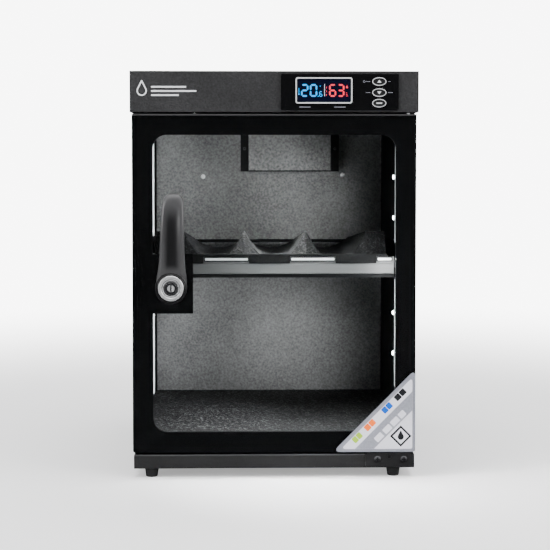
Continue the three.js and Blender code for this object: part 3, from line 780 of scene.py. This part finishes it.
def pad_height(x, y):
    """Height of the cradle pad's top at x and y, in the CAD source's millimetres."""
    place = (x - MIDDLE_CRADLE) / RIDGE_PITCH
    top = RIDGE_TOP - (RIDGE_TOP - RIDGE_REAR) * max(0.0, (y - SLOPE_END) / (PAD_REAR - SLOPE_END))
    rise = 1.0
    if abs(place) < 1.5:
        half = RIDGE_PITCH / 2
        rise = min(1.0, abs(place - round(place)) * RIDGE_PITCH / (half - CREST)) ** 2.2
    full = VALLEY + (top - VALLEY) * rise
    aside = abs(place - 0.5 - round(place - 0.5)) * RIDGE_PITCH if abs(place) < 2 else 0.0
    slope = LIP + (RIDGE_TOP - LIP) * (y - PAD_FRONT - FACET_FOLD * aside) / (SLOPE_END - PAD_FRONT)
    rim = LIP - (LIP - VALLEY) * max(0.0, min(1.0, (y - PAD_FRONT - 3) / 9))
    return max(min(full, slope), rim)


def build_pad(work):
    low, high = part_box("shelf_pad")
    columns, rows = 240, 84
    left, right = low.x / MM + 0.2, high.x / MM - 0.2
    grid = []
    for r in range(rows + 1):
        y = PAD_FRONT + (PAD_REAR - 0.3 - PAD_FRONT) * (r / rows) ** 1.9
        line = []
        for c in range(columns + 1):
            x = left + (right - left) * c / columns
            z = pad_height(x, y)
            grit = 0.35 * noise.noise(Vector((x, y, z)) * 0.7) + 0.25 * noise.noise(Vector((x, y, z)) * 0.23)
            line.append(work.verts.new((x * MM, cad_y(y), min((z + grit) * MM, high.z))))
        grid.append(line)
    close_slab(work, grid, PAD_BOTTOM * MM)


def close_slab(work, grid, bottom):
    """Faces for a grid of points as a slab's top, with walls down to a flat underside."""
    for a, b in zip(grid, grid[1:]):
        for i in range(len(a) - 1):
            work.faces.new((a[i], a[i + 1], b[i + 1], b[i]))
    ring = grid[0][:] + [line[-1] for line in grid[1:]] + grid[-1][-2::-1] + [line[0] for line in grid[-2:0:-1]]
    under = [work.verts.new((v.co.x, v.co.y, bottom)) for v in ring]
    for i in range(len(ring)):
        j = (i + 1) % len(ring)
        work.faces.new((ring[i], ring[j], under[j], under[i]))
    work.faces.new(under)


TABS = (-91.0, -4.4, 82.2)
TAB_WIDTH = 41.0
TAB_BOTTOM = 210.4


def add_pad():
    pad = add_piece("cradle_pad", mesh_from("cradle_pad", build_pad), "foam", "cabinet")
    low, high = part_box("shelf_pad")

    def build_lip(work):
        edge = rounded(rectangle(low.x, high.x, (LIP - 2.2) * MM, LIP * MM), 0.9 * MM, 4)
        add_prism(work, edge, low.y, low.y + 3.3 * MM)
        for x in TABS:
            x0, x1 = (x - TAB_WIDTH / 2) * MM, (x + TAB_WIDTH / 2) * MM
            tab = rounded(rectangle(x0, x1, TAB_BOTTOM * MM, (LIP - 2) * MM), 0.8 * MM, 4)
            add_prism(work, tab, low.y, low.y + 1.4 * MM)

    lip = add_piece("cradle_lip", mesh_from("cradle_lip", build_lip), "skin_foam", "cabinet", bevel=0.3 * MM)
    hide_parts("shelf_pad")


def add_mat():
    low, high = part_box("floor_mat")

    def build(work):
        columns, rows = 150, 156
        grid = []
        for r in range(rows + 1):
            line = []
            for c in range(columns + 1):
                x = low.x + (high.x - low.x) * c / columns
                y = low.y + (high.y - low.y) * r / rows
                spot = Vector((x, y, 0))
                grit = noise.noise(spot * 520) * 0.55 + noise.noise(spot * 60) * 0.25
                drop = 0.9 if min(c, columns - c, r, rows - r) == 0 else 0.0
                line.append(work.verts.new((x, y, high.z - (0.6 - grit * 0.7 + drop) * MM)))
            grid.append(line)
        close_slab(work, grid, low.z)

    mat = add_piece("foam_mat", mesh_from("foam_mat", build), "mat_foam", "cabinet")
    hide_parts("floor_mat")


def add_gasket():
    """The magnetic door seal: a ribbed bellows section run round the door."""
    low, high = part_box("door_gasket")
    y0, y1 = low.y, high.y
    deep = y1 - y0
    section = [(0.0, 0.0), (0.8, 0.0), (1.2, 0.12), (1.2, 0.22), (0.2, 0.30), (0.2, 0.42), (1.1, 0.50), (1.1, 0.60),
               (0.1, 0.68), (0.0, 0.78), (0.0, 0.96), (0.5, 1.0), (7.0, 1.0), (7.5, 0.96), (7.5, 0.78),
               (7.4, 0.68), (6.4, 0.60), (6.4, 0.50), (7.3, 0.42), (7.3, 0.30), (6.3, 0.22), (6.3, 0.12),
               (6.7, 0.0), (7.5, 0.0)]

    def build(work):
        corners = ((low.x, low.z, 1, 1), (high.x, low.z, -1, 1), (high.x, high.z, -1, -1), (low.x, high.z, 1, -1))
        loops = []
        for inset, share in section:
            step = inset * MM
            outline = [(x + sx * step, z + sz * step) for x, z, sx, sz in corners]
            outline = rounded(outline, max(1.0 * MM, 7 * MM - step), 6)
            loops.append([work.verts.new((x, y0 + deep * share, z)) for x, z in outline])
        count = len(loops[0])
        for a, b in zip(loops, loops[1:] + loops[:1]):
            for i in range(count):
                j = (i + 1) % count
                work.faces.new((a[i], a[j], b[j], b[i]))

    seal = add_piece("door_seal", mesh_from("door_seal", build), "rubber", "door")
    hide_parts("door_gasket")


# ---------- Display and panel print ----------

SEGMENTS = {
    "0": "abcdef", "2": "abged", "3": "abgcd", "6": "afgedc",
}


def segment_shapes(x, z, width, height, thick):
    """The seven segments of one digit, lower left corner at x, z, as outlines."""
    gap = thick * 0.18
    half = height / 2

    def bar(x0, z0, x1, z1):
        t = thick / 2
        if abs(z1 - z0) < 1e-9:
            x0, x1 = x0 + gap, x1 - gap
            return [(x0, z0), (x0 + t, z0 + t), (x1 - t, z0 + t), (x1, z0), (x1 - t, z0 - t), (x0 + t, z0 - t)]
        z0, z1 = z0 + gap, z1 - gap
        return [(x0, z0), (x0 + t, z0 + t), (x0 + t, z1 - t), (x0, z1), (x0 - t, z1 - t), (x0 - t, z0 + t)]

    left, right, low, mid, high = x + thick / 2, x + width - thick / 2, z + thick / 2, z + half, z + height - thick / 2
    return {
        "a": bar(left, high, right, high),
        "b": bar(right, mid, right, high),
        "c": bar(right, low, right, mid),
        "d": bar(left, low, right, low),
        "e": bar(left, low, left, mid),
        "f": bar(left, mid, left, high),
        "g": bar(left, mid, right, mid),
    }


def add_digit(work, digit, x, z, width, height, thick, y_front, y_back):
    shapes = segment_shapes(x, z, width, height, thick)
    for key in SEGMENTS[digit]:
        add_prism(work, shapes[key], y_front, y_back)


def add_display():
    y_back = display_low.y - 0.02 * MM
    y_front = display_low.y - 0.16 * MM
    x0 = display_low.x
    z = (display_low.z + display_high.z) / 2 - 6.2 * MM

    def blue(work):
        add_digit(work, "2", x0 + 3.5 * MM, z, 7.4 * MM, 12.4 * MM, 1.7 * MM, y_front, y_back)
        add_digit(work, "0", x0 + 12.1 * MM, z, 7.4 * MM, 12.4 * MM, 1.7 * MM, y_front, y_back)
        add_digit(work, "6", x0 + 21.3 * MM, z, 3.2 * MM, 5.4 * MM, 0.8 * MM, y_front, y_back)
        dot = ellipse(x0 + 20.4 * MM, z + 0.6 * MM, 0.55 * MM, 0.55 * MM, 16)
        add_prism(work, dot, y_front, y_back)
        bulb = ellipse(x0 + 1.6 * MM, z + 2.6 * MM, 0.75 * MM, 0.75 * MM, 20)
        add_prism(work, bulb, y_front, y_back)
        stem = rounded(rectangle(x0 + 1.3 * MM, x0 + 1.9 * MM, z + 3.6 * MM, z + 8.6 * MM), 0.2 * MM, 3)
        add_prism(work, stem, y_front, y_back)
        unit = ellipse(x0 + 22.4 * MM, z + 10.4 * MM, 0.6 * MM, 0.6 * MM, 16)
        hole = ellipse(x0 + 22.4 * MM, z + 10.4 * MM, 0.3 * MM, 0.3 * MM, 16)
        add_ring_prism(work, unit, hole, y_front, y_back)

    def red(work):
        add_digit(work, "6", x0 + 30.9 * MM, z, 7.1 * MM, 12.4 * MM, 1.7 * MM, y_front, y_back)
        add_digit(work, "3", x0 + 38.9 * MM, z, 7.1 * MM, 12.4 * MM, 1.7 * MM, y_front, y_back)
        for k in range(3):
            low = z + (0.6 + 1.5 * k) * MM
            tick = rectangle(x0 + 47.4 * MM, x0 + (49.4 - 0.5 * k) * MM, low, low + 0.6 * MM)
            add_prism(work, tick, y_front, y_back)
        drop = droplet(x0 + 48.4 * MM, z + 9.2 * MM, 1.0 * MM)
        add_prism(work, drop, y_front, y_back)
        for k in range(3):
            low = z + (1.0 + 3.6 * k) * MM
            tick = rectangle(x0 + 28.2 * MM, x0 + 28.7 * MM, low, low + 1.6 * MM)
            add_prism(work, tick, y_front, y_back)

    def white(work):
        add_prism(work, rectangle(x0 + 26.4 * MM, x0 + 26.7 * MM, z + 0.5 * MM, z + 12.5 * MM), y_front, y_back)

    add_piece("digits_temperature", mesh_from("digits_temperature", blue), "blue_glow", "cabinet", smooth=False)
    add_piece("digits_humidity", mesh_from("digits_humidity", red), "red_glow", "cabinet", smooth=False)
    add_piece("display_divider", mesh_from("display_divider", white), "white_glow", "cabinet", smooth=False)


def droplet(x, z, radius, steps=28):
    """A drop outline: a circle drawn up to a point."""
    made = []
    for k in range(steps):
        t = 2 * math.pi * k / steps
        up = max(0.0, math.sin(t)) ** 5
        made.append((x + radius * math.cos(t) * (1 - 0.3 * up), z + radius * (math.sin(t) + 1.1 * up)))
    return made


def add_panel_print():
    y_back = panel_low.y - 0.02 * MM
    y_front = panel_low.y - 0.12 * MM

    def rings(work):
        for name in ("button_up", "button_down", "button_mode"):
            low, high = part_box(name)
            x, z = (low.x + high.x) / 2, (low.z + high.z) / 2
            half_w, half_h = (high.x - low.x) / 2, (high.z - low.z) / 2
            outer = ellipse(x, z, half_w + 0.7 * MM, half_h + 0.7 * MM)
            inner = ellipse(x, z, half_w + 0.05 * MM, half_h + 0.05 * MM)
            add_ring_prism(work, outer, inner, panel_low.y - 0.9 * MM, panel_low.y - 0.02 * MM)

    add_piece("button_rings", mesh_from("button_rings", rings), "white_print_and_highlight", "cabinet", bevel=0.15 * MM)

    def icon(name, outline):
        low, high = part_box(name)
        x, z = (low.x + high.x) / 2, (low.z + high.z) / 2

        def build(work):
            shape = [(x + a * MM, z + b * MM) for a, b in outline]
            add_prism(work, shape, low.y - 0.14 * MM, low.y - 0.02 * MM)

        add_piece(name + "_icon", mesh_from(name + "_icon", build), "white_print_and_highlight",
                  name.replace("button_", "") + "_button", smooth=False)

    icon("button_up", [(-2.0, -1.1), (2.0, -1.1), (0, 1.6)])
    icon("button_down", [(-2.0, 1.1), (0, -1.6), (2.0, 1.1)])
    icon("button_mode", [(-2.8, -0.5), (2.8, -0.5), (2.8, 0.5), (-2.8, 0.5)])

    def marks(work):
        low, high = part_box("button_up")
        left, right = low.x - 2.6 * MM, high.x + 2.6 * MM
        for name, spans in (("button_up", (4.2, 2.4)), ("button_down", (4.4, 4.6))):
            z = sum(corner.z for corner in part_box(name)) / 2
            add_prism(work, rectangle(left - spans[0] * MM, left, z - 0.22 * MM, z + 0.22 * MM), y_front, y_back)
            add_prism(work, rectangle(right, right + spans[1] * MM, z - 0.22 * MM, z + 0.22 * MM), y_front, y_back)
        z = sum(corner.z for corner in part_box("button_up")) / 2
        outer = ellipse(left - 5.9 * MM, z, 1.1 * MM, 1.1 * MM, 24)
        inner = ellipse(left - 5.9 * MM, z, 0.8 * MM, 0.8 * MM, 24)
        add_ring_prism(work, outer, inner, y_front, y_back)
        for x in (display_low.x + 2 * MM, display_high.x - 16 * MM):
            low_z = panel_low.z + 2.6 * MM
            add_prism(work, rectangle(x, x + 11 * MM, low_z, low_z + 0.6 * MM), y_front, y_back)

    add_piece("panel_marks", mesh_from("panel_marks", marks), "sticker_grey", "cabinet", smooth=False)


def add_emblem():
    """A generic drop and three bars on the housing's left."""
    y_back = housing_low.y - 0.02 * MM
    y_front = housing_low.y - 0.3 * MM
    left = housing_low.x + 12 * MM
    middle = housing_low.z + 21.5 * MM

    def build(work):
        outer = droplet(left, middle - 1 * MM, 5.0 * MM)
        inner = droplet(left, middle - 1 * MM, 3.7 * MM)
        add_ring_prism(work, outer, inner, y_front, y_back)
        for k, reach in enumerate((34, 44, 27)):
            low = middle + (3.4 - 4.0 * k) * MM
            bar = rounded(rectangle(left + 9 * MM, left + (9 + reach) * MM, low - 1.4 * MM, low + 0.2 * MM),
                          0.6 * MM, 4)
            add_prism(work, bar, y_front, y_back)

    add_piece("housing_emblem", mesh_from("housing_emblem", build), "white_print_and_highlight", "cabinet", smooth=False)


# ---------- Door sticker ----------

def add_sticker():
    """A plain triangular label in the door's lower right corner, with colour bars in place of print."""
    right = glass_high.x - 0.8 * MM
    low = glass_low.z + 0.9 * MM
    leg_x, leg_z = 81.5 * MM, 82 * MM
    base = glass_low.y

    def layer(name, outline, radius, look, front, back):
        shape = rounded(outline, radius, 8) if radius else outline

        def build(work):
            add_prism(work, shape, base - front * MM, base - back * MM)

        add_piece(name, mesh_from(name, build), look, "door", smooth=False)

    def inside(u, v):
        """A point by its shares of the two legs, from the right-angled corner."""
        return (right - u * leg_x, low + v * leg_z)

    layer("sticker_border", [inside(1, 0), inside(0, 0), inside(0, 1)], 3.6 * MM, "sticker_silver", 0.16, 0.02)
    layer("sticker_field", [inside(0.90, 0.035), inside(0.035, 0.035), inside(0.035, 0.90)], 2.2 * MM,
          "sticker_pale", 0.24, 0.16)
    band = [inside(0.73, 0.037), inside(0.50, 0.037), inside(0.037, 0.50), inside(0.037, 0.73)]
    layer("sticker_band", band, 0, "sticker_grey", 0.30, 0.24)

    slant = Vector((leg_x, leg_z)).normalized()
    across = Vector((slant.y, -slant.x))

    def slanted(centre, length, width):
        c = Vector(centre)
        a, b = slant * length / 2, across * width / 2
        return [tuple(c - a - b), tuple(c + a - b), tuple(c + a + b), tuple(c - a + b)]

    start, end = Vector(inside(0.80, 0.075)), Vector(inside(0.075, 0.80))
    inks = (("green", "ink_green", 0.07, 0.20), ("orange", "ink_orange", 0.27, 0.42),
            ("blue", "ink_blue", 0.56, 0.70), ("black", "ink_and_shade_black", 0.77, 0.93))
    for label, look, a, b in inks:
        pieces = []
        for k in range(2):
            t = a + (b - a) * (0.25 + 0.5 * k)
            pieces.append(slanted(start.lerp(end, t), (b - a) * (end - start).length * 0.46, 6.0 * MM))

        def build(work, outlines=tuple(pieces)):
            for outline in outlines:
                add_prism(work, rounded(outline, 1.0 * MM, 4), base - 0.30 * MM, base - 0.24 * MM)

        add_piece(f"sticker_bar_{label}", mesh_from(f"sticker_bar_{label}", build), look, "door", smooth=False)

    centre = Vector(inside(0.175, 0.19))

    def build_mark(work):
        outline = slanted(centre, 15 * MM, 15 * MM)
        hole = slanted(centre, 11.4 * MM, 11.4 * MM)
        add_ring_prism(work, outline, hole, base - 0.30 * MM, base - 0.24 * MM)
        add_prism(work, droplet(centre.x, centre.y - 0.8 * MM, 3.0 * MM), base - 0.30 * MM, base - 0.24 * MM)

    add_piece("sticker_mark", mesh_from("sticker_mark", build_mark), "ink_and_shade_black", "door", smooth=False)

    start, end = Vector(inside(0.50, 0.115)), Vector(inside(0.115, 0.50))

    def build_dashes(work):
        for t, reach in ((0.16, 9), (0.42, 9), (0.66, 9), (0.88, 7)):
            dash = slanted(start.lerp(end, t), reach * MM, 6.0 * MM)
            add_prism(work, rounded(dash, 1.0 * MM, 4), base - 0.36 * MM, base - 0.30 * MM)

    add_piece("sticker_dashes", mesh_from("sticker_dashes", build_dashes), "sticker_pale", "door", smooth=False)


# ---------- Lamps and small hardware ----------

def add_lamps():
    """A lit dome on each lamp chip."""
    strip_low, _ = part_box("light_strip_upper")
    face = strip_low.x
    y = strip_low.y + 5 * MM
    heights = [0.256, 0.2966, 0.120, 0.1607]

    def build(work):
        for z in heights:
            dome = bmesh.ops.create_uvsphere(work, u_segments=20, v_segments=12, radius=2.0 * MM)
            bmesh.ops.scale(work, vec=(0.35, 1, 1), verts=dome["verts"])
            bmesh.ops.translate(work, vec=(face - 0.75 * MM, y, z), verts=dome["verts"])

    add_piece("lamp_domes", mesh_from("lamp_domes", build), "lamp_glow", "cabinet")


def cross_head(name, x, y, z, radius, rise, look, body, node=None):
    """A pan screw head facing the front, with a cross recess drawn as a black cross of painted shade."""
    def build(work):
        profile = [(0, y - rise), (radius * 0.55, y - rise * 0.98), (radius * 0.86, y - rise * 0.7),
                   (radius, y - rise * 0.25), (radius, y), (0, y)]
        add_lathe(work, x, z, profile, 40)

    head = add_piece(name, mesh_from(name, build), look, body)

    # Painted shade: a flat black cross stands in for the shaded hollow of the recess, which is not cut.
    def build_recess(work):
        arm, width = radius * 0.62, radius * 0.16
        outline = [(width, width), (width, arm), (-width, arm), (-width, width), (-arm, width), (-arm, -width),
                   (-width, -width), (-width, -arm), (width, -arm), (width, -width), (arm, -width), (arm, width)]
        add_prism(work, [(x + a, z + b) for a, b in outline], y - rise * 1.02, y - rise * 0.9)

    add_piece(name + "_recess_shade", mesh_from(name + "_recess_shade", build_recess), "ink_and_shade_black", body, smooth=False)
    if node:
        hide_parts(node)
    return head


def add_hardware():
    for side in ("left", "right"):
        node = f"hinge_screw_{side}"
        low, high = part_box(node)
        cross_head(f"bracket_screw_{side}", (low.x + high.x) / 2, high.y, (low.z + high.z) / 2,
                   (high.x - low.x) / 2, high.y - low.y, "dull_steel", "cabinet", node)


SLOTS = ((-70.2, -24.9), (16.1, 61.7), (102.7, 119.0))


def add_shelf_edge():
    """The tray's rolled front edge, and in each slot between the pad's tabs a bar of painted highlight on a strip of
    painted shadow.
    """
    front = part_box("shelf_tray")[0].y
    half = 120.2 * MM

    def build_roll(work):
        roll = rounded(rectangle(-half, half, 200.1 * MM, 209.9 * MM), 1.6 * MM, 6)
        add_prism(work, roll, front - 1.2 * MM, front - 0.02 * MM)

    add_piece("shelf_edge", mesh_from("shelf_edge", build_roll), "shelf_metal", "cabinet", bevel=0.45 * MM)

    # Painted shadow: dark strips that fill the slots around the highlight bars.
    def build_shadows(work):
        for x0, x1 in SLOTS:
            add_prism(work, rectangle(x0 * MM, x1 * MM, 212.2 * MM, 217.3 * MM), front - 0.6 * MM, front - 0.02 * MM)

    add_piece("slot_shadows", mesh_from("slot_shadows", build_shadows), "black_plastic", "cabinet", smooth=False)

    # Painted highlight: pale bars for the rail's top edge catching the light.
    def build_highlights(work):
        for x0, x1 in SLOTS:
            bar = rounded(rectangle((x0 + 1.4) * MM, (x1 - 1.2) * MM, 213.3 * MM, 215.7 * MM), 0.5 * MM, 4)
            add_prism(work, bar, front - 1.1 * MM, front - 0.6 * MM)

    add_piece("slot_highlights", mesh_from("slot_highlights", build_highlights), "white_print_and_highlight", "cabinet", bevel=0.2 * MM)


def add_edge_highlights():
    """Painted highlights: a pale line along the door glass's top edge and along the base pan's front fold."""
    def build_top(work):
        add_prism(work, rectangle(glass_low.x + 0.6 * MM, glass_high.x - 0.6 * MM, glass_high.z - 1.5 * MM,
                                  glass_high.z - 0.15 * MM), glass_low.y - 0.12 * MM, glass_low.y - 0.02 * MM)

    add_piece("glass_edge_highlight", mesh_from("glass_edge_highlight", build_top), "edge_highlight_grey", "door", smooth=False)
    pan_low, pan_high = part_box("base_pan")

    def build_fold(work):
        fold = rounded(rectangle(pan_low.x + 0.4 * MM, 89.4 * MM, pan_high.z - 0.9 * MM, pan_high.z + 0.1 * MM),
                       0.3 * MM, 3)
        add_prism(work, fold, pan_low.y - 0.25 * MM, pan_low.y + 1.2 * MM)

    add_piece("base_fold_highlight", mesh_from("base_fold_highlight", build_fold), "edge_highlight_grey", "cabinet", smooth=False)


def add_cover_lip():
    """The black fold under the cooling unit's cover, and a screw in each of its side rails."""
    left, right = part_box("unit_rail_left"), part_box("unit_rail_right")
    front, bottom = left[0].y, left[0].z

    def build(work):
        outline = rectangle(left[0].x, right[1].x, bottom, bottom + 1.3 * MM)
        add_prism(work, outline, front - 0.3 * MM, front - 0.02 * MM)

    add_piece("cover_lip", mesh_from("cover_lip", build), "matt_black", "cabinet", smooth=False)
    for side, (low, high) in (("left", left), ("right", right)):
        cross_head(f"rail_screw_{side}", (low.x + high.x) / 2, low.y - 0.02 * MM, low.z + 27 * MM, 1.9 * MM, 0.7 * MM,
                   "black_plastic", "cabinet")


def add_back_seal():
    """A bead of sealant round the back panel, inside the case."""
    inner_x = shell_high.x - 1.25 * MM
    low_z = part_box("floor_mat")[0].z
    high_z = housing_low.z - 1.5 * MM

    def build(work):
        outer = rectangle(-inner_x, inner_x, low_z, high_z)
        inner = rectangle(-inner_x + 2.2 * MM, inner_x - 2.2 * MM, low_z + 2.2 * MM, high_z - 2.2 * MM)
        add_ring_prism(work, outer, inner, cad_y(287.74), cad_y(287.96))

    add_piece("back_seal", mesh_from("back_seal", build), "matt_black", "cabinet", smooth=False)


def add_painted_wall_light():
    """Painted light: glowing strips down the left wall at the back, in place of the lamps' light falling there."""
    wall = shell_low.x + 1.6 * MM

    def build(work):
        for bottom, top in ((222, 350), (38, 198)):
            outline = rectangle(wall, wall + 0.4 * MM, bottom * MM, top * MM)
            add_prism(work, outline, cad_y(248), cad_y(264))

    add_piece("painted_wall_light", mesh_from("painted_wall_light", build), "painted_wall_glow", "cabinet", smooth=False)


# ---------- Inside light ----------

def lamp_spot(name, place, target, power, angle):
    data = bpy.data.lights.new(name, "SPOT")
    data.energy = power
    data.spot_size = math.radians(angle)
    data.spot_blend = 1.0
    data.shadow_soft_size = 0.02
    add_lamp(name, data, place, target)


WALL_WASH = 0.8
# For each compartment: the spots' height, where the bright patch is on the back wall, and the side light's height.
COMPARTMENTS = {"upper": (0.300, 0.262, 0.285), "lower": (0.130, 0.088, 0.125)}


def add_inside_lights():
    """The lamps' light on the back wall and the left wall, and soft light on the shelf pad and the floor mat."""
    depth = cad_y(288)
    for label, (height, patch, side) in COMPARTMENTS.items():
        lamp_spot(f"{label}_hot", (0.034, cad_y(60), height), (0.034, depth, patch), 1.2, 46)
        lamp_spot(f"{label}_wide", (-0.035, cad_y(50), height), (-0.035, depth, height - 0.01), 1.3, 68)
        wash = area_light(f"{label}_wash", (0.116, cad_y(90), side), (-0.138, cad_y(130), side - 0.02), 0.10,
                          WALL_WASH, height=0.05, spread=70)
        wash.visible_glossy = False
    area_light("upper_glow", (-0.03, cad_y(4), 0.335), (0.01, cad_y(16), 0.21), 0.20, 0.75, height=0.008,
               spread=75)
    area_light("lower_glow", (0, cad_y(17), 0.193), (0, cad_y(30), 0.03), 0.20, 0.45, height=0.01, spread=100)
    rim = bpy.data.lights.new("flange_rim", "POINT")
    rim.energy = 0.16
    rim.shadow_soft_size = 0.01
    add_lamp("flange_rim", rim, (0.111, cad_y(-11), 0.209)).visible_glossy = False


# ---------- Assembly ----------

add_camera()
add_studio()
dress_nodes()
add_handle()
add_pad()
add_mat()
add_gasket()
add_display()
add_panel_print()
add_emblem()
add_sticker()
add_lamps()
add_hardware()
add_shelf_edge()
add_edge_highlights()
add_cover_lip()
add_back_seal()
add_painted_wall_light()
add_inside_lights()
